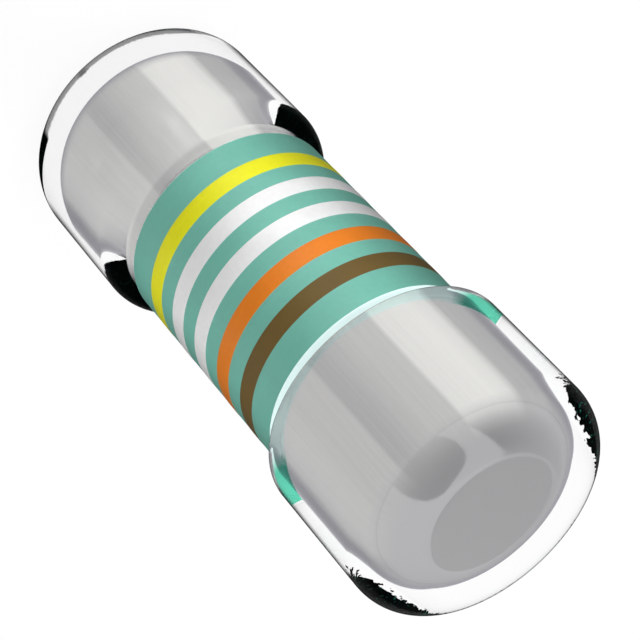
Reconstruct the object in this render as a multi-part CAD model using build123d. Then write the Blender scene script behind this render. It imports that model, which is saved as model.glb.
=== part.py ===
"""MELF resistor, 0204 size: a ceramic rod with a trimmed resistive film, capped, lacquered and banded.

Millimetres. The axis is Z, the part stands on its flat lower end, and the origin is the middle of
that end face. Every round piece is one profile turned about Z.
"""
import os

from build123d import *

# Overall size
length = 3.576                  # over the two flat ends
cover_radius = 0.700            # clear end covers

# Clear end covers
cover_length = 1.018            # from the end face to the shoulder
cover_wall = 0.155              # clear cover round a cap's straight side
cap_cover_depth = 0.131         # clear cover over a cap's closed end
end_corner = 0.267              # rounding of the outer edge
neck_step = 0.0175              # how far the neck lies below the lacquer's surface
lower_neck = 0.117              # length of the neck between the shoulder and the lacquer
upper_neck = 0.055              # the same at the upper end

# Plated steel end caps, cast inside the covers
cap_wall = 0.055
cap_corner = 0.197              # rounding of the closed end
rim_lap = 0.056                 # how far a cap's rim runs on under the lacquer

# Resistive film on the rod, and the spiral trimmed through it
film_thickness = 0.008
groove_width = 0.045
groove_pitch = 0.150
groove_margin = 0.147           # plain film between the spiral and a cap's rim

# Lacquer
lacquer_over_cap = 0.0685       # thickness over a cap's rim

# Colour bands, let flush into the lacquer
band_colours = ["yellow", "white_1", "white_2", "orange", "brown"]
band_width = 0.112
band_pitch = 0.2245
band_depth = 0.010
band_offset = 0.041             # the set lies this far above the part's middle

# Worked out from the sizes above
middle = length / 2
cap_radius = cover_radius - cover_wall
film_radius = cap_radius - cap_wall
rod_radius = film_radius - film_thickness
lacquer_radius = cap_radius + lacquer_over_cap
neck_radius = lacquer_radius - neck_step
shoulder_round = cover_radius - neck_radius
lacquer_bottom = cover_length + lower_neck
lacquer_top = length - cover_length - upper_neck
cap_rim = cover_length + max(lower_neck, upper_neck) + rim_lap
cap_bend = cap_corner - cap_wall
rod_bottom = cap_cover_depth + cap_wall
rod_length = length - 2 * rod_bottom
groove_length = length - 2 * (cap_rim + groove_margin)
first_band = middle + band_offset - band_pitch * (len(band_colours) - 1) / 2


def turned(edges):
    """One solid turned about Z from the closed outline that the edges make in the XZ plane."""
    face = make_face(Wire(edges))
    return revolve(Plane.XZ * face, Axis.Z, 360)


def corner(start, end, radius):
    """A quarter round between two points of an outline."""
    return RadiusArc(start, end, radius)


def path(*points):
    """Straight edges through the points."""
    return [Line(a, b) for a, b in zip(points, points[1:])]


def ceramic_rod():
    """Plain alumina rod with rounded end edges."""
    rod = Cylinder(rod_radius, rod_length, align=(Align.CENTER, Align.CENTER, Align.MIN))
    rod = fillet(rod.edges().filter_by(GeomType.CIRCLE), cap_bend - film_thickness)
    return Pos(0, 0, rod_bottom) * rod


def spiral_groove():
    """The cutter that trims the film: a flat strip wound round the rod in a helix."""
    route = Helix(groove_pitch, groove_length, (rod_radius + film_radius) / 2)
    section = Plane(origin=route @ 0, x_dir=(0, 0, 1), z_dir=route % 0)
    strip = section * Rectangle(groove_width, 4 * film_thickness)
    return Pos(0, 0, middle - groove_length / 2) * sweep(strip, path=route, is_frenet=True)


def resistive_film():
    """Metal film along the rod's straight side, parted into a spiral track by the groove."""
    film_length = rod_length - 2 * cap_bend
    tube = Cylinder(film_radius, film_length) - Cylinder(rod_radius, film_length)
    return Pos(0, 0, middle) * tube - spiral_groove()


def end_cap():
    """Drawn steel cup of the lower end: its closed end is down and its open rim is up."""
    outer = cap_radius
    inner = film_radius
    base = cap_cover_depth
    outline = path((0, rod_bottom), (0, base), (outer - cap_corner, base))
    outline.append(corner((outer - cap_corner, base), (outer, base + cap_corner), -cap_corner))
    outline += path((outer, base + cap_corner), (outer, cap_rim), (inner, cap_rim))
    outline += path((inner, cap_rim), (inner, rod_bottom + cap_bend))
    outline.append(corner((inner, rod_bottom + cap_bend), (inner - cap_bend, rod_bottom), cap_bend))
    outline += path((inner - cap_bend, rod_bottom), (0, rod_bottom))
    return turned(outline)


def clear_cover(lacquer_edge):
    """Clear cover of the lower end, cast round the cap up to the lacquer's edge."""
    outer = cover_radius
    neck = neck_radius
    inner = cap_radius
    base = cap_cover_depth
    shoulder = cover_length
    outline = path((0, base), (0, 0), (outer - end_corner, 0))
    outline.append(corner((outer - end_corner, 0), (outer, end_corner), -end_corner))
    outline += path((outer, end_corner), (outer, shoulder - shoulder_round))
    outline.append(corner((outer, shoulder - shoulder_round), (neck, shoulder), -shoulder_round))
    outline += path((neck, shoulder), (neck, lacquer_edge), (inner, lacquer_edge))
    outline += path((inner, lacquer_edge), (inner, base + cap_corner))
    outline.append(corner((inner, base + cap_corner), (inner - cap_corner, base), cap_corner))
    outline += path((inner - cap_corner, base), (0, base))
    return turned(outline)


def upper(piece):
    """The lower end's piece turned over to the upper end."""
    return Pos(0, 0, length) * Rot(180, 0, 0) * piece


def band_blank(index):
    """Ring that one colour band fills."""
    height = first_band + index * band_pitch
    ring = Cylinder(lacquer_radius, band_width) - Cylinder(lacquer_radius - band_depth, band_width)
    return Pos(0, 0, height) * ring


def lacquer_coating(bands):
    """Lacquer sleeve: it laps over both cap rims and has a shallow recess for each band."""
    skirt_top = length - cap_rim
    outline = path(
        (film_radius, cap_rim), (cap_radius, cap_rim), (cap_radius, lacquer_bottom),
        (lacquer_radius, lacquer_bottom), (lacquer_radius, lacquer_top), (cap_radius, lacquer_top),
        (cap_radius, skirt_top), (film_radius, skirt_top), (film_radius, cap_rim),
    )
    sleeve = turned(outline)
    for band in bands:
        sleeve -= band
    return sleeve


def main():
    bands = [band_blank(index) for index in range(len(band_colours))]
    parts = {
        "ceramic_rod": ceramic_rod(),
        "resistive_film": resistive_film(),
        "lower_end_cap": end_cap(),
        "upper_end_cap": upper(end_cap()),
        "lacquer_coating": lacquer_coating(bands),
        "lower_clear_cover": clear_cover(lacquer_bottom),
        "upper_clear_cover": upper(clear_cover(length - lacquer_top)),
    }
    for colour, band in zip(band_colours, bands):
        parts["band_" + colour] = band
    os.makedirs("parts", exist_ok=True)
    for name, part in parts.items():
        part.label = name
        export_step(part, "parts/" + name + ".step")


if __name__ == "__main__":
    main()
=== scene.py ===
"""Looks of a small round resistor with clear end covers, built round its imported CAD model.

Everything is in metres. The resistor stands on its lower end, its axis is Z, and each round piece
is one outline turned about that axis.
"""

import math

import bpy
import numpy as np
from mathutils import Matrix, Vector


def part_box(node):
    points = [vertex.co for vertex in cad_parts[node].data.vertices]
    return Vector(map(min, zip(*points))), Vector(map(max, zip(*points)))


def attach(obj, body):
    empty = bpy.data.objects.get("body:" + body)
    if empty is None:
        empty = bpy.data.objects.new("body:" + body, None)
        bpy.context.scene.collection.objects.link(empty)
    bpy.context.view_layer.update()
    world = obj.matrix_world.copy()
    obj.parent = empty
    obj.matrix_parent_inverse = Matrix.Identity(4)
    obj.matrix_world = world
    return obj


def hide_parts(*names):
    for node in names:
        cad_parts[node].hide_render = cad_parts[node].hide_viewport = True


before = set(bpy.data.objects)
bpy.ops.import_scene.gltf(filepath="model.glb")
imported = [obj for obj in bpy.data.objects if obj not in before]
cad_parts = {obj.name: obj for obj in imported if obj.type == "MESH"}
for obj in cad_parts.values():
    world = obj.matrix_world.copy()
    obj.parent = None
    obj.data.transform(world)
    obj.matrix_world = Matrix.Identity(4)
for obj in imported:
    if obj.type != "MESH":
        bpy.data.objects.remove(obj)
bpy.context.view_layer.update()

bl_info = {
    "name": "Round Resistor Looks",
    "version": (1, 0, 0),
    "blender": (4, 5, 0),
    "location": "View3D > Sidebar > Resistor",
    "description": "Clear covers, metal caps, lacquer and colour bands of a round resistor",
    "category": "Object",
}

MM = 0.001
BANDS = ("yellow", "white_1", "white_2", "orange", "brown")
WHITE = (1.0, 1.0, 1.0, 1.0)
BLACK = (0.0, 0.0, 0.0, 1.0)

# Where the finishes change, in millimetres. Heights count from the nearer end face
END_SKIN = 0.0005               # a lacquer point this near the sleeve's end is on its end face
SATURATED_MIDDLE = 0.20            # Y of the middle of the saturated zone on that face, between its painted highlights
SATURATED_HALF = (0.17, 0.30)      # its half width, from where it is full to where it ends
BEND_TOP = (0.05, 0.19)         # above a cap's closed end: the bend's tone gives way to the side's
FLAT_EDGE = (0.344, 0.352)      # from the axis: the closed end's tone gives way to the bend's
LIGHTER_RISE = (0.50, 0.95)           # heights over which the lower cap grows lighter
LIGHTER_STOP = (0.98, 1.01)       # and where that stops, under the cover's neck
LOWER_WALL = (0.15, 0.86)       # straight wall of the lower cover, where light is turned back and painted shade goes in
UPPER_WALL = (0.20, 0.68)       # the same of the upper cover
CORNER_TOP = 0.25               # the lower cover's rounded edge ends here

# Where a clear cover is painted darker as it turns away (painted shade), from 0 face on to 1 edge on
RIM = (0.80, 0.92)
BROAD_RIM = (0.55, 0.61)        # on the lower cover's rounded edge
DEEP_RIM = (0.88, 0.94)         # there, where it darkens again

# Tone of the broad stripes painted on the metal caps' sides as reflection, over half a turn,
# from dull (0) to bright (1)
PAINTED_STRIPES = ((0.00, 0.02), (0.07, 0.19), (0.10, 0.41), (0.187, 0.36), (0.222, 0.88), (0.27, 0.97),
         (0.33, 0.92), (0.378, 0.85), (0.390, 0.50), (0.47, 0.42), (0.51, 0.34), (0.555, 0.23),
         (0.590, 0.22), (0.600, 0.39), (0.70, 0.38), (0.76, 0.45), (0.85, 0.50), (0.88, 0.48),
         (0.93, 0.12), (1.00, 0.02))


def reach(node):
    """Outer radius, lowest height and highest height of a turned CAD node."""
    low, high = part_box(node)
    return high.x, low.z, high.z


COVER_RADIUS, END_FACE, LOWER_EDGE = reach("lower_clear_cover")
_, UPPER_EDGE, LENGTH = reach("upper_clear_cover")
CAP_RADIUS, CAP_FACE, CAP_RIM = reach("lower_end_cap")
LACQUER_RADIUS = reach("lacquer_coating")[0]
FILM_RADIUS = reach("resistive_film")[0]


# ---------------------------------------------------------------- settings

def size_setting(name, description, millimetres):
    """A length that a user may change."""
    return bpy.props.FloatProperty(name=name, description=description, default=millimetres * MM,
                                   min=0.0, soft_max=10 * MM, precision=6, unit="LENGTH")


def colour_setting(name, description, red, green, blue):
    """A colour that a user may change."""
    return bpy.props.FloatVectorProperty(name=name, description=description, subtype="COLOR", size=4,
                                         min=0.0, max=1.0, default=(red, green, blue, 1.0))


def share_setting(name, description, value, highest=1.0):
    """A plain number from nothing to its highest value."""
    return bpy.props.FloatProperty(name=name, description=description, default=value,
                                   min=0.0, max=highest, precision=4)


class ResistorSizes(bpy.types.PropertyGroup):
    cover_length: size_setting("Cover length", "Clear cover from its end face to its shoulder", 1.018)
    end_corner: size_setting("End corner", "Rounding of a clear cover's outer edge", 0.267)
    neck_step: size_setting("Neck step", "Drop from the lacquer's surface to the clear neck", 0.0175)
    cap_corner: size_setting("Cap corner", "Rounding of a metal cap's closed end", 0.197)
    cap_wall: size_setting("Cap wall", "Thickness of the drawn metal", 0.055)
    band_depth: size_setting("Band depth", "How deep a colour band sits in the lacquer", 0.010)
    band_crown: size_setting("Band crown", "How far the middle of a printed band stands proud", 0.0012)
    seat: size_setting("Seat", "How far two cast or coated pieces reach into each other", 0.003)
    around: bpy.props.IntProperty(name="Steps around", description="Grid steps round each piece",
                                  default=256, min=32, max=720)


class ResistorColours(bpy.types.PropertyGroup):
    lacquer: colour_setting("Lacquer", "Teal body lacquer", 0.183, 0.508, 0.412)
    yellow: colour_setting("Yellow band", "First figure, four", 0.862, 0.833, 0.018)
    white: colour_setting("White bands", "Second and third figures, nine", 0.880, 0.880, 0.880)
    orange: colour_setting("Orange band", "Multiplier", 0.836, 0.229, 0.0195)
    brown: colour_setting("Brown band", "Tolerance", 0.166, 0.106, 0.031)
    # The sleeve's end faces: a saturated teal at the sides, and a pale painted highlight to front and
    # back
    saturated_edge: colour_setting("Wetted edge", "Lacquer's end face, deepened by the clear cover on it",
                             0.100, 0.600, 0.420)
    pale_highlight_edge: colour_setting("Pale edge", "Thin lacquer at the same end face", 0.800, 0.990, 0.980)
    # Tones of the metal caps, painted reflection: bright and dull stripes on the side, then the bend and
    # the closed end
    metal_reflection_bright: colour_setting("Light metal", "Bright draw marks on the caps", 0.800, 0.792, 0.772)
    metal_reflection_dull: colour_setting("Grey metal", "Dull draw marks on the caps", 0.300, 0.300, 0.306)
    metal_bend: colour_setting("Metal bend", "Rounded edge of a cap", 0.462, 0.462, 0.470)
    metal_end: colour_setting("Metal end", "Flat closed end of a cap", 0.405, 0.405, 0.410)
    # The clear covers' dark places are painted shade, with painted glints of the lacquer in them
    clear_edge: colour_setting("Clear edge", "What a clear cover shows where no light gets through",
                               0.001, 0.002, 0.002)
    clear_glint: colour_setting("Clear speck", "Glints of the lacquer in those dark places",
                                0.030, 0.300, 0.210)
    alumina: colour_setting("Alumina", "Ceramic rod", 0.780, 0.770, 0.730)
    film: colour_setting("Film", "Resistive metal film", 0.290, 0.270, 0.250)
    clear_index: share_setting("Clear index", "How strongly the clear covers bend light", 1.12, 2.0)


class StudioSettings(bpy.types.PropertyGroup):
    key: share_setting("Key strip", "Level of the main strip light, where 1 shows a colour as written",
                       1.03, 4.0)
    side: share_setting("Side strip", "Level of the second strip light", 0.66, 4.0)
    top: share_setting("Top light", "Level of the light from above and in front", 0.04, 4.0)
    back: share_setting("Back light", "Level of the light from behind", 0.80, 4.0)
    fill: share_setting("Fill light", "Level of the second light from behind", 0.45, 4.0)
    overhead: share_setting("Overhead light", "Level of the light from straight above", 0.95, 4.0)
    ambient: share_setting("Ambient", "Level of the light from all round", 0.04, 4.0)
    gloss: share_setting("Gloss", "Brightness that bare lacquer and the covers' outside reflect", 0.04)
    panels: share_setting("Panels", "Brightness of the white panels that metal reflects", 1.0)
    gaps: share_setting("Gaps", "How much darker the room is between them, right above", 0.50)
    lens: bpy.props.FloatProperty(name="Lens", description="Focal length in millimetres", default=108.39,
                                  min=10.0, max=500.0)
    distance: size_setting("Camera distance", "From the camera to the point it looks at", 9.884)
    aim: size_setting("Aim height", "Height of the point that the camera looks at", 1.972)
    aside: bpy.props.FloatProperty(name="Aim aside", description="Sideways place of that point",
                                   default=-0.016 * MM, precision=6, unit="LENGTH")
    elevation: bpy.props.FloatProperty(name="Elevation", description="Height of the camera above level",
                                       default=math.radians(36.73), subtype="ANGLE")
    roll: bpy.props.FloatProperty(name="Roll", description="Turn of the camera about its own axis",
                                  default=math.radians(137.78), subtype="ANGLE")


# ---------------------------------------------------------------- shapes

def quarter(centre_r, centre_z, radius, start, end, steps=24):
    """Part of a circle in the outline plane: centre plus radius times (cos a, sin a), a in degrees."""
    a = np.radians(np.linspace(start, end, steps + 1))
    return np.column_stack([centre_r + radius * np.cos(a), centre_z + radius * np.sin(a)])


def flipped(outline):
    """The outline of the lower end moved to the upper end: z becomes length minus z."""
    return np.column_stack([outline[:, 0], LENGTH - outline[:, 1]])


def turned(name, outline, around, material, closed=False):
    """Surface of revolution of an outline given as rows of (r, z).

    The grid point of row i at step j is (r_i cos a_j, r_i sin a_j, z_i) with a_j = 2 pi j / around.
    A row with r = 0 is one shared point, so the surface closes there without a seam.
    """
    outline = np.asarray(outline, float)
    if closed:
        outline = np.vstack([outline, outline[:1]])
    rows = len(outline)
    pole = outline[:, 0] < 1e-9
    count = np.where(pole, 1, around)
    if closed:
        count[-1] = 0
    first = np.concatenate([[0], np.cumsum(count)[:-1]])
    if closed:
        first[-1] = 0
    step = np.arange(around)
    index = first[:, None] + np.where(pole[:, None], 0, step[None, :])
    angle = 2 * math.pi * step / around
    grid = np.stack([outline[:, :1] * np.cos(angle), outline[:, :1] * np.sin(angle),
                     np.repeat(outline[:, 1:], around, axis=1)], axis=-1)
    used = np.arange(around)[None, :] < count[:, None]
    points = grid[used]
    a, b = index[:-1], index[1:]
    a2, b2 = np.roll(a, -1, axis=1), np.roll(b, -1, axis=1)
    quads = np.stack([a, a2, b2, b], axis=-1)
    full = ~(pole[:-1] | pole[1:])
    faces = quads[full].reshape(-1, 4).tolist()
    faces += quads[pole[:-1] & ~pole[1:]][..., [0, 2, 3]].reshape(-1, 3).tolist()
    faces += quads[~pole[:-1] & pole[1:]][..., [0, 1, 2]].reshape(-1, 3).tolist()
    corners = [face[:3] for face in faces] + [[f[0], f[2], f[3]] for f in faces if len(f) == 4]
    p = points[np.array(corners)]
    if np.einsum("ij,ij->i", p[:, 0], np.cross(p[:, 1], p[:, 2])).sum() < 0:
        faces = [face[::-1] for face in faces]
    mesh = bpy.data.meshes.new(name)
    mesh.from_pydata(points.tolist(), [], faces)
    mesh.polygons.foreach_set("use_smooth", np.ones(len(mesh.polygons), bool))
    mesh.set_sharp_from_angle(angle=math.radians(32))
    mesh.update()
    mesh.materials.append(material)
    piece = bpy.data.objects.new(name, mesh)
    bpy.context.scene.collection.objects.link(piece)
    return piece


def cover_outline(sizes):
    """Outline of the lower clear cover: end face, rounded edge, side, shoulder and neck, then back
    along the cap. Inside it keeps a hair's breadth under the metal's skin, so that clear material
    and metal share no face."""
    radius, corner = COVER_RADIUS, sizes.end_corner
    neck = LACQUER_RADIUS - sizes.neck_step
    shoulder, seat = radius - neck, sizes.seat
    inner, base = CAP_RADIUS - seat, CAP_FACE + seat
    bend = sizes.cap_corner - seat
    return np.vstack([
        [(0.0, END_FACE)],
        quarter(radius - corner, END_FACE + corner, corner, -90, 0),
        quarter(neck, sizes.cover_length - shoulder, shoulder, 0, 90, 16),
        [(neck, LOWER_EDGE + seat), (inner, LOWER_EDGE + seat)],
        quarter(inner - bend, base + bend, bend, 0, -90),
        [(0.0, base)],
    ])


def cap_outline(sizes):
    """Outline of the lower metal cap, a drawn cup: closed end, bend and side outside, rolled rim,
    then side, bend and closed end inside."""
    outer, inner = CAP_RADIUS, CAP_RADIUS - sizes.cap_wall
    bend_in = sizes.cap_corner - sizes.cap_wall
    base, floor, lip = CAP_FACE, CAP_FACE + sizes.cap_wall, sizes.cap_wall * 0.25
    return np.vstack([
        [(0.0, base)],
        quarter(outer - sizes.cap_corner, base + sizes.cap_corner, sizes.cap_corner, -90, 0),
        quarter(outer - lip, CAP_RIM - lip, lip, 0, 90, 6),
        quarter(inner + lip, CAP_RIM - lip, lip, 90, 180, 6),
        quarter(inner - bend_in, floor + bend_in, bend_in, 0, -90, 16),
        [(0.0, floor)],
    ])


# ---------------------------------------------------------------- finishes

class Signal:
    """One output of a node. Arithmetic on it adds the Math node that works the result out."""

    def __init__(self, graph, socket):
        self.graph, self.socket = graph, socket

    def output(self, name):
        """Another output of the same node."""
        return Signal(self.graph, self.socket.node.outputs[name])

    def __add__(self, other):
        return self.graph.math("ADD", self, other)

    def __sub__(self, other):
        return self.graph.math("SUBTRACT", self, other)

    def __rsub__(self, other):
        return self.graph.math("SUBTRACT", other, self)

    def __mul__(self, other):
        return self.graph.math("MULTIPLY", self, other)

    def __truediv__(self, other):
        return self.graph.math("DIVIDE", self, other)

    def __pow__(self, other):
        return self.graph.math("POWER", self, other)

    def __gt__(self, other):
        return self.graph.math("GREATER_THAN", self, other)

    def __lt__(self, other):
        return self.graph.math("LESS_THAN", self, other)

    def __abs__(self):
        return self.graph.math("ABSOLUTE", self)

    __radd__ = __add__
    __rmul__ = __mul__

    def between(self, low, high):
        """0 below low, 1 above high, and an even slope from one to the other."""
        return self.graph.add("ShaderNodeMapRange", {"clamp": True},
                              {"Value": self, "From Min": low, "From Max": high})


class Graph:
    """The nodes of one material or world."""

    def __init__(self, tree):
        self.tree = tree
        tree.nodes.clear()

    def add(self, kind, settings=None, inputs=None, output=0):
        """Adds a node: its settings first, then its sockets' values or links. Gives one output."""
        node = self.tree.nodes.new(kind)
        for key, value in (settings or {}).items():
            if key == "stops":
                while len(node.color_ramp.elements) < len(value):
                    node.color_ramp.elements.new(1.0)
                for element, (place, colour) in zip(node.color_ramp.elements, value):
                    element.position, element.color = place, colour
            else:
                setattr(node, key, value)
        for key, value in (inputs or {}).items():
            if isinstance(value, Signal):
                self.tree.links.new(value.socket, node.inputs[key])
            else:
                node.inputs[key].default_value = value
        return Signal(self, node.outputs[output]) if len(node.outputs) else node

    def math(self, operation, *values):
        """A Math node on one, two or three values."""
        return self.add("ShaderNodeMath", {"operation": operation}, dict(enumerate(values)))

    def blend(self, factor, first, second):
        """Mixes two colours."""
        return self.add("ShaderNodeMix", {"data_type": "RGBA"}, {0: factor, 6: first, 7: second}, 2)

    def place(self):
        """The piece's own coordinates, in millimetres."""
        own = self.add("ShaderNodeTexCoord", output="Object")
        return self.add("ShaderNodeVectorMath", {"operation": "SCALE"}, {0: own, "Scale": 1 / MM})

    def part_of(self, vector, axis):
        """One coordinate of a vector: X, Y or Z."""
        return self.add("ShaderNodeSeparateXYZ", inputs={"Vector": vector}, output=axis)

    def noise(self, place, scale, detail=3.0, roughness=0.5):
        """Soft noise from 0 to 1, with so many features to a millimetre."""
        return self.add("ShaderNodeTexNoise", inputs={
            "Vector": place, "Scale": scale, "Detail": detail, "Roughness": roughness})

    def relief(self, height, depth):
        """A normal bent by a height from 0 to 1 that stands for so many metres."""
        return self.add("ShaderNodeBump", inputs={"Height": height, "Distance": depth})


def finish(name, build):
    """A new material whose nodes the function build makes; build gives the surface shader."""
    material = bpy.data.materials.new(name)
    material.use_nodes = True
    graph = Graph(material.node_tree)
    graph.add("ShaderNodeOutputMaterial", inputs={"Surface": build(graph)})
    return material


def toned(colour, share):
    """The colour times a share, at most white."""
    return [min(1.0, share * c) for c in colour[:3]] + [1.0]


def around_axis(graph, place, pull):
    """Coordinates that run round the axis and hardly change along it, for marks drawn along Z.

    The place is brought onto the unit circle round the axis, and its height is divided by pull."""
    flat = graph.add("ShaderNodeVectorMath", {"operation": "MULTIPLY"}, {0: place, 1: (1.0, 1.0, 0.0)})
    circle = graph.add("ShaderNodeVectorMath", {"operation": "NORMALIZE"}, {0: flat})
    lift = graph.add("ShaderNodeCombineXYZ", inputs={"Z": graph.part_of(place, "Z") / pull})
    return graph.add("ShaderNodeVectorMath", {"operation": "ADD"}, {0: circle, 1: lift})


def lacquer_finish(name, colour, ends=None):
    """Satin lacquer or band paint: faint pigment clouding, uneven gloss and fine orange peel.

    ends holds the two colours painted on the sleeve's end faces, which the clear covers are cast
    against: a pale painted highlight to the front and back, and a saturated teal in between."""
    def build(graph):
        place = graph.place()
        cloud = graph.noise(place, 3.5, 4.0)
        grain = graph.noise(place, 34.0, 2.0)
        peel = graph.noise(place, 16.0, 2.0)
        shade = graph.blend((cloud * 0.7 + grain * 0.3).between(0.3, 0.7),
                            toned(colour, 0.93), toned(colour, 1.05))
        # end faces: pale painted highlight to front and back, saturated teal at the sides
        if ends:
            pale, saturated = ends
            z = graph.part_of(place, "Z")
            middle, half = (UPPER_EDGE + LOWER_EDGE) / 2 / MM, (UPPER_EDGE - LOWER_EDGE) / 2 / MM
            at_end = abs(z - middle) > half - END_SKIN
            aside = abs(z.output("Y") - SATURATED_MIDDLE)
            shade = graph.blend(at_end, shade, graph.blend(aside.between(*SATURATED_HALF), saturated, pale))
        return graph.add("ShaderNodeBsdfPrincipled", inputs={
            "Base Color": shade,
            "Roughness": 0.50 + 0.12 * cloud,
            "Specular IOR Level": 0.3,
            "Normal": graph.relief(peel * 0.7 + grain * 0.3, 0.0007 * MM),
        })
    return finish(name, build)


def cap_finish(name, light, dull_reflection, bend, end):
    """Drawn and plated metal: broad soft stripes along the axis on the side, painted into the colour as
    reflection over fine draw marks, and the bend and the plain closed end in their own painted
    reflection tones.

    The stripes' tone is a ramp over half a turn round the axis, and the other half repeats it. The
    lower cap grows a little lighter towards the lacquer."""
    def build(graph):
        place = graph.place()
        x = graph.part_of(place, "X")
        y, z = x.output("Y"), x.output("Z")
        wander, streak, lighten_share = 0.012, 0.10, 0.15
        drift = (graph.noise(around_axis(graph, place, 12.0), 9.0, 3.0) - 0.5) * wander
        bearing = graph.math("ARCTAN2", x, y * -1.0) / math.pi + 1.5 + drift
        # painted reflection: the ramp gives the side broad bright and dull stripes round the axis
        tone = graph.add("ShaderNodeValToRGB", {"stops": [
            (spot, (value, value, value, 1.0)) for spot, value in PAINTED_STRIPES]},
            {"Fac": graph.math("FRACT", bearing)})
        fine = graph.noise(around_axis(graph, place, 20.0), 36.0, 2.0)
        lower_half = z < LENGTH / MM / 2
        # the lower cap grows lighter towards the lacquer, and stops under the cover's neck
        lightening = (z.between(*LIGHTER_RISE) - 1.15 * z.between(*LIGHTER_STOP)) * lower_half * lighten_share
        side = graph.blend(tone + ((fine - 0.5) * streak + lightening), dull_reflection, light)
        depth = graph.math("MINIMUM", z, LENGTH / MM - z) - CAP_FACE / MM
        drawn = depth.between(*BEND_TOP)
        flat = 1 - ((x * x + y * y) ** 0.5).between(*FLAT_EDGE)
        return graph.add("ShaderNodeBsdfPrincipled", inputs={
            # the bend and the closed end take their own tones, painted reflection
            "Base Color": graph.blend(flat, graph.blend(drawn, bend, side), end),
            "Metallic": 1.0,
            "Roughness": 0.06 + 0.04 * fine + 0.16 * flat,
            "Specular Tint": (0.58, 0.58, 0.62, 1.0),
            "Normal": graph.relief(fine, 0.0001 * MM),
        })
    return finish(name, build)


def clear_finish(name, index, edge, glint, lower_cover):
    """Clear cast cover. Where the straight wall turns light back inside, a near-black shader is put in:
    painted shade for the dark edges of clear material on a bright ground, with painted glints. The rim
    is painted darker too, and on the lower cover (stained) more so round the rounded edge of the
    end that stands on the floor."""
    def build(graph):
        place = graph.place()
        ripple = graph.noise(place, 2.5, 2.0)
        clear = graph.add("ShaderNodeBsdfPrincipled", inputs={
            "Base Color": graph.blend(ripple, (0.985, 0.995, 0.99, 1.0), WHITE),
            "Roughness": 0.0,
            "IOR": index,
            "Transmission Weight": 1.0,
            "Normal": graph.relief(ripple, 0.0002 * MM),
        })
        z = graph.part_of(place, "Z")
        depth = z if lower_cover else LENGTH / MM - z
        # painted shade: a near-black matt shader goes where the cover loses light, with painted glints of
        # the lacquer, fewer on the lower cover
        glints = graph.noise(place, 95.0, 3.0, 0.7).between(0.61, 0.71) * (0.25 if lower_cover else 1.0)
        dark = graph.add("ShaderNodeBsdfPrincipled", inputs={
            "Base Color": graph.blend(glints, edge, glint), "Roughness": 1.0, "Specular IOR Level": 0.0})
        inside = graph.add("ShaderNodeNewGeometry", output="Backfacing")
        facing = graph.add("ShaderNodeLayerWeight", inputs={"Blend": 0.5}, output="Facing")
        teeth = graph.noise(around_axis(graph, place, 1.4), 42.0, 2.0, 0.7)
        # Facing is one minus the cosine, so this is the angle past which the cover turns light back
        critical = 1 - math.sqrt(1 - 1 / index ** 2)
        # painted shade round the rim, broad and jagged round the lower cover's rounded edge
        rim = facing.between(*RIM) * 0.9
        if lower_cover:
            jagged = facing - teeth.between(0.45, 0.75) * 0.06
            low, high = LOWER_WALL
            drift = graph.noise(around_axis(graph, place, 4.0), 1.6, 1.0).between(0.50, 0.55)
            broad = (facing + (teeth - 0.5) * 0.08 + drift * 0.06).between(*BROAD_RIM)
            strength = 0.66 + facing.between(*DEEP_RIM) * 0.22 + drift * 0.34
            corner = depth < CORNER_TOP
            rim = rim * (1 - corner) + broad * strength * corner
        else:
            jagged = facing + (teeth - 0.40) * 0.17
            low, high = UPPER_WALL
        turned_back = (jagged > critical) * inside * (depth > low) * (depth < high)
        lost = graph.math("MAXIMUM", turned_back, rim * (1 - inside))
        return graph.add("ShaderNodeMixShader", inputs={0: lost, 1: clear, 2: dark})
    return finish(name, build)


def rod_finish(name, colour):
    """Fired alumina: chalky, with fine grain."""
    def build(graph):
        place = graph.place()
        grain = graph.noise(place, 40.0, 4.0, 0.6)
        return graph.add("ShaderNodeBsdfPrincipled", inputs={
            "Base Color": graph.blend(grain, toned(colour, 0.88), colour),
            "Roughness": 0.75 + 0.2 * grain,
            "Normal": graph.relief(grain, 0.002 * MM),
        })
    return finish(name, build)


def film_finish(name, colour):
    """Sputtered metal film: even and faintly clouded, with the drift of the coating round the rod."""
    def build(graph):
        place = graph.place()
        drift = graph.noise(around_axis(graph, place, 4.0), 2.0, 3.0)
        return graph.add("ShaderNodeBsdfPrincipled", inputs={
            "Base Color": graph.blend(drift, colour, toned(colour, 1.35)),
            "Metallic": 1.0,
            "Roughness": 0.28 + 0.15 * drift,
            "Normal": graph.relief(graph.noise(place, 60.0), 0.0003 * MM),
        })
    return finish(name, build)


# ---------------------------------------------------------------- operators

class RESISTOR_OT_end_caps(bpy.types.Operator):
    """Makes the two drawn metal end caps"""
    bl_idname = "resistor.end_caps"
    bl_label = "End Caps"
    bl_options = {"REGISTER", "UNDO"}

    def execute(self, context):
        sizes, colours = context.scene.resistor_sizes, context.scene.resistor_colours
        metal = cap_finish("drawn_metal", colours.metal_reflection_bright, colours.metal_reflection_dull, colours.metal_bend,
                           colours.metal_end)
        lower = cap_outline(sizes)
        for end, outline in (("lower", lower), ("upper", flipped(lower))):
            piece = turned(end + "_metal_cap", outline, sizes.around, metal)
            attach(piece, "root")
            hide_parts(end + "_end_cap")
        return {"FINISHED"}


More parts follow.
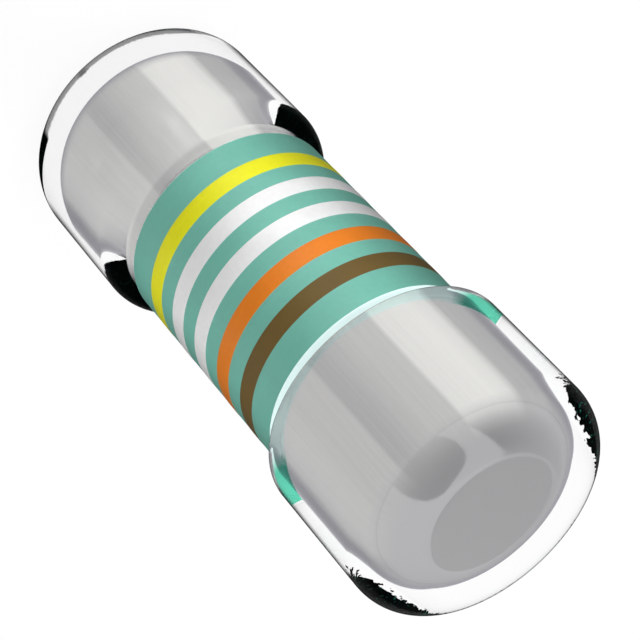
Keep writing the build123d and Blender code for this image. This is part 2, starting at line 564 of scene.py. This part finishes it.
class RESISTOR_OT_clear_covers(bpy.types.Operator):
    """Makes the two clear covers cast round the end caps"""
    bl_idname = "resistor.clear_covers"
    bl_label = "Clear Covers"
    bl_options = {"REGISTER", "UNDO"}

    def execute(self, context):
        sizes, colours = context.scene.resistor_sizes, context.scene.resistor_colours
        clear = {end: clear_finish(end + "_clear_casting", colours.clear_index, colours.clear_edge,
                                   colours.clear_glint, end == "lower") for end in ("lower", "upper")}
        lower = cover_outline(sizes)
        upper = flipped(lower)
        seat = sizes.seat
        edge = np.isclose(lower[:, 1], LOWER_EDGE + seat)
        upper[edge, 1] = UPPER_EDGE - seat
        for end, outline in (("lower", lower), ("upper", upper)):
            piece = turned(end + "_cover", outline, sizes.around, clear[end])
            piece.visible_shadow = False
            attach(piece, "root")
            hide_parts(end + "_clear_cover")
        return {"FINISHED"}


class RESISTOR_OT_lacquer(bpy.types.Operator):
    """Makes the teal lacquer sleeve with a shallow seat for each colour band"""
    bl_idname = "resistor.lacquer"
    bl_label = "Lacquer Sleeve"
    bl_options = {"REGISTER", "UNDO"}

    def execute(self, context):
        sizes, colours = context.scene.resistor_sizes, context.scene.resistor_colours
        radius = LACQUER_RADIUS
        outer = [(radius, LOWER_EDGE)]
        for band in BANDS:
            _, low, high = reach("band_" + band)
            deep = radius - sizes.band_depth
            outer += [(radius, low), (deep, low), (deep, high), (radius, high)]
        outer.append((radius, UPPER_EDGE))
        rim_low, rim_high = CAP_RIM, LENGTH - CAP_RIM
        inner = [(CAP_RADIUS, UPPER_EDGE), (CAP_RADIUS, rim_high), (FILM_RADIUS, rim_high),
                 (FILM_RADIUS, rim_low), (CAP_RADIUS, rim_low), (CAP_RADIUS, LOWER_EDGE)]
        lacquer = lacquer_finish("body_lacquer", colours.lacquer, (colours.pale_highlight_edge, colours.saturated_edge))
        piece = turned("lacquer_sleeve", outer + inner, sizes.around, lacquer, closed=True)
        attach(piece, "root")
        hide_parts("lacquer_coating")
        return {"FINISHED"}


class RESISTOR_OT_bands(bpy.types.Operator):
    """Makes the five printed colour bands, each a ring with a faint crown and rounded edges"""
    bl_idname = "resistor.bands"
    bl_label = "Colour Bands"
    bl_options = {"REGISTER", "UNDO"}

    def execute(self, context):
        sizes, colours = context.scene.resistor_sizes, context.scene.resistor_colours
        made = {}
        for band in BANDS:
            colour = band.split("_")[0]
            if colour not in made:
                made[colour] = lacquer_finish(colour + "_paint", getattr(colours, colour))
            radius, low, high = reach("band_" + band)
            across = np.linspace(-1.0, 1.0, 25)
            crown = sizes.band_crown * (1 - across ** 6)
            top = np.column_stack([radius + crown, (low + high) / 2 + across * (high - low) / 2])
            deep = radius - sizes.band_depth
            outline = np.vstack([top, [(deep, high), (deep, low)]])
            piece = turned(band + "_ring", outline, sizes.around, made[colour], closed=True)
            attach(piece, "root")
            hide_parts("band_" + band)
            colour + "_print"
        return {"FINISHED"}


class RESISTOR_OT_core(bpy.types.Operator):
    """Gives the ceramic rod and the trimmed film their finishes"""
    bl_idname = "resistor.core"
    bl_label = "Rod and Film"
    bl_options = {"REGISTER", "UNDO"}

    def execute(self, context):
        colours = context.scene.resistor_colours
        finishes = {"ceramic_rod": rod_finish("alumina_grain", colours.alumina),
                    "resistive_film": film_finish("metal_film_drift", colours.film)}
        for node, material in finishes.items():
            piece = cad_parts[node]
            for place in piece.material_slots:
                place.material = material
        return {"FINISHED"}


def strip_light(name, level, bearing, reach_out):
    """An upright strip light beside the resistor, at that bearing in degrees and so far out from its
    axis. At level 1 a white body facing it renders as white: its power is level times 2 pi times
    its length times its distance from the lacquer."""
    length, width = 14 * MM, 0.3 * MM
    lamp = bpy.data.lights.new(name, "AREA")
    lamp.shape, lamp.size, lamp.size_y = "RECTANGLE", width, length
    lamp.energy = level * 2 * math.pi * length * (reach_out - LACQUER_RADIUS)
    a = math.radians(bearing)
    out = Vector((math.sin(a), -math.cos(a), 0.0))
    holder = bpy.data.objects.new(name, lamp)
    holder.location = out * reach_out + Vector((0.0, 0.0, LENGTH / 2))
    holder.rotation_euler = out.to_track_quat("Z", "Y").to_euler()
    holder.visible_camera = holder.visible_glossy = holder.visible_transmission = False
    bpy.context.scene.collection.objects.link(holder)


def soft_light(name, level, bearing, elevation, distance, aim):
    """A square studio light that shines on the aim point from a bearing and an elevation in degrees.
    At level 1 a facing white surface there renders as white: its power is level times pi squared
    times the distance squared."""
    lamp = bpy.data.lights.new(name, "AREA")
    lamp.size = 0.7 * distance
    lamp.energy = level * (math.pi * distance) ** 2
    a, e = math.radians(bearing), math.radians(elevation)
    back = Vector((math.sin(a) * math.cos(e), -math.cos(a) * math.cos(e), math.sin(e)))
    holder = bpy.data.objects.new(name, lamp)
    holder.location = aim + back * distance
    holder.rotation_euler = back.to_track_quat("Z", "Y").to_euler()
    holder.visible_camera = holder.visible_glossy = holder.visible_transmission = False
    bpy.context.scene.collection.objects.link(holder)


def light_path(graph):
    """The light path, and 1 on what is seen directly, in metal or through the clear covers."""
    path = graph.add("ShaderNodeLightPath", output="Is Camera Ray")
    seen = path + path.output("Is Glossy Ray") + path.output("Is Transmission Ray")
    return path, seen.between(0.0, 1.0)


def bare_gloss(path, level):
    """1 for what is seen directly or through the clear covers, and the level for what is only
    reflected, by lacquer or by the outside of a cover."""
    reflected, refracted = path.output("Glossy Depth"), path.output("Transmission Depth")
    return 1 - (reflected > 0.5) * (refracted < 0.5) * (1 - level)


class RESISTOR_OT_studio(bpy.types.Operator):
    """Sets up the pale floor, the bright surroundings, the soft lights and the camera"""
    bl_idname = "resistor.studio"
    bl_label = "Studio"
    bl_options = {"REGISTER", "UNDO"}

    def execute(self, context):
        scene, studio = context.scene, context.scene.resistor_studio
        scene.view_settings.view_transform = "Standard"
        aim = Vector((studio.aside, 0.0, studio.aim))
        self.floor(scene, studio)
        self.surroundings(scene, studio)
        strip_light("key_strip", studio.key, bearing=-24, reach_out=1.5 * MM)
        strip_light("side_strip", studio.side, bearing=50, reach_out=1.15 * MM)
        far = 60 * MM
        soft_light("top_light", studio.top, -20, 50, far, aim)
        soft_light("back_light", studio.back, -160, 30, far, aim)
        soft_light("fill_light", studio.fill, 155, 30, far, aim)
        soft_light("overhead_light", studio.overhead, 0, 88, far, aim)
        self.camera(scene, studio, aim)
        return {"FINISHED"}

    def floor(self, scene, studio):
        """A wide pale plane just under the lower end. What is seen of it directly, in metal or
        through the clear covers glows white, and the lit part keeps the resistor's shadow."""
        side, low = 0.4, -0.002 * MM
        mesh = bpy.data.meshes.new("floor")
        mesh.from_pydata([(-side, -side, low), (side, -side, low), (side, side, low), (-side, side, low)],
                         [], [(0, 1, 2, 3)])
        plane = bpy.data.objects.new("floor", mesh)
        scene.collection.objects.link(plane)

        def build(graph):
            path, seen = light_path(graph)
            glow = graph.blend(seen * bare_gloss(path, studio.gloss), BLACK, toned(WHITE, 0.89))
            return graph.add("ShaderNodeBsdfPrincipled", inputs={
                "Base Color": toned(WHITE, 0.08), "Roughness": 1.0, "Specular IOR Level": 0.0,
                "Emission Color": glow, "Emission Strength": 1.0})
        mesh.materials.append(finish("pale_floor", build))

    def surroundings(self, scene, studio):
        """White all round where it is seen directly or through the clear covers, white panels with
        darker gaps between them in the metal, and an even level of light on matt surfaces. Nothing
        that the metal mirrors is brighter than white."""
        world = bpy.data.worlds.new("studio_surroundings")
        world.use_nodes = True
        scene.world = world
        graph = Graph(world.node_tree)
        path, seen = light_path(graph)
        mirrored = path.output("Glossy Depth") > 0.5
        way = graph.add("ShaderNodeTexCoord", output="Generated")
        rise = graph.math("MAXIMUM", graph.part_of(way, "Z"), 0.0)

        def along(normal):
            """How far the way runs along a direction, from -1 to 1."""
            return graph.add("ShaderNodeVectorMath", {"operation": "DOT_PRODUCT"}, {0: way, 1: normal},
                             "Value")
        across_strip, across_wall = along((-0.876, 0.357, -0.321)), along((0.852, 0.520, -0.062))
        left_gap = across_strip.between(0.155, 0.175)
        wall = across_wall.between(0.285, 0.310)
        front_gap = (1 - across_strip.between(-0.190, -0.165)) * (1 - wall)
        # What the wall and the gaps add to the panels' brightness or take from it, and how that
        # changes with the height of the way
        room = (studio.panels + 0.20 * wall * rise * rise - 0.08 * (1 - wall) * rise
                - front_gap * (0.12 + 0.4 * studio.gaps * rise)
                + left_gap * (0.08 - studio.gaps * rise)).between(0.0, 1.0)
        strength = studio.ambient + seen * (1 - studio.ambient) - seen * mirrored * (1 - room)
        strength = strength * bare_gloss(path, studio.gloss)
        shade = graph.add("ShaderNodeBackground", inputs={"Color": WHITE, "Strength": strength})
        graph.add("ShaderNodeOutputWorld", inputs={"Surface": shade})

    def camera(self, scene, studio, aim):
        """The camera stands back from the aim point at its elevation, and is rolled about its axis."""
        up, roll = studio.elevation, studio.roll
        back = Vector((0.0, -math.cos(up), math.sin(up)))
        level = Vector((1.0, 0.0, 0.0))
        rise = back.cross(level)
        across = level * math.cos(roll) + rise * math.sin(roll)
        upward = rise * math.cos(roll) - level * math.sin(roll)
        place = Matrix.Identity(4)
        for column, vector in enumerate((across, upward, back, aim + back * studio.distance)):
            place.col[column][:3] = vector
        eye = bpy.data.cameras.new("camera")
        eye.lens, eye.sensor_width = studio.lens, 36.0
        eye.clip_start, eye.clip_end = 0.1 * MM, 10.0
        holder = bpy.data.objects.new("camera", eye)
        holder.matrix_world = place
        scene.collection.objects.link(holder)
        scene.camera = holder


class RESISTOR_PT_looks(bpy.types.Panel):
    """Lists the resistor's pieces, sizes and colours"""
    bl_idname = "RESISTOR_PT_looks"
    bl_label = "Round Resistor"
    bl_space_type = "VIEW_3D"
    bl_region_type = "UI"
    bl_category = "Resistor"

    def draw(self, context):
        for group in (context.scene.resistor_sizes, context.scene.resistor_colours,
                      context.scene.resistor_studio):
            box = self.layout.box()
            for setting in group.bl_rna.properties:
                if setting.identifier not in {"rna_type", "name"}:
                    box.prop(group, setting.identifier)
        for operator in OPERATORS:
            self.layout.operator(operator.bl_idname)


GROUPS = {"resistor_sizes": ResistorSizes, "resistor_colours": ResistorColours,
          "resistor_studio": StudioSettings}
OPERATORS = (RESISTOR_OT_core, RESISTOR_OT_end_caps, RESISTOR_OT_clear_covers, RESISTOR_OT_lacquer,
             RESISTOR_OT_bands, RESISTOR_OT_studio)
CLASSES = (*GROUPS.values(), *OPERATORS, RESISTOR_PT_looks)


def register():
    for each in CLASSES:
        bpy.utils.register_class(each)
    for name, group in GROUPS.items():
        setattr(bpy.types.Scene, name, bpy.props.PointerProperty(type=group))


def unregister():
    for name in GROUPS:
        delattr(bpy.types.Scene, name)
    for each in reversed(CLASSES):
        bpy.utils.unregister_class(each)


def main():
    register()
    bpy.ops.resistor.core()
    bpy.ops.resistor.end_caps()
    bpy.ops.resistor.clear_covers()
    bpy.ops.resistor.lacquer()
    bpy.ops.resistor.bands()
    bpy.ops.resistor.studio()


if __name__ == "__main__":
    main()
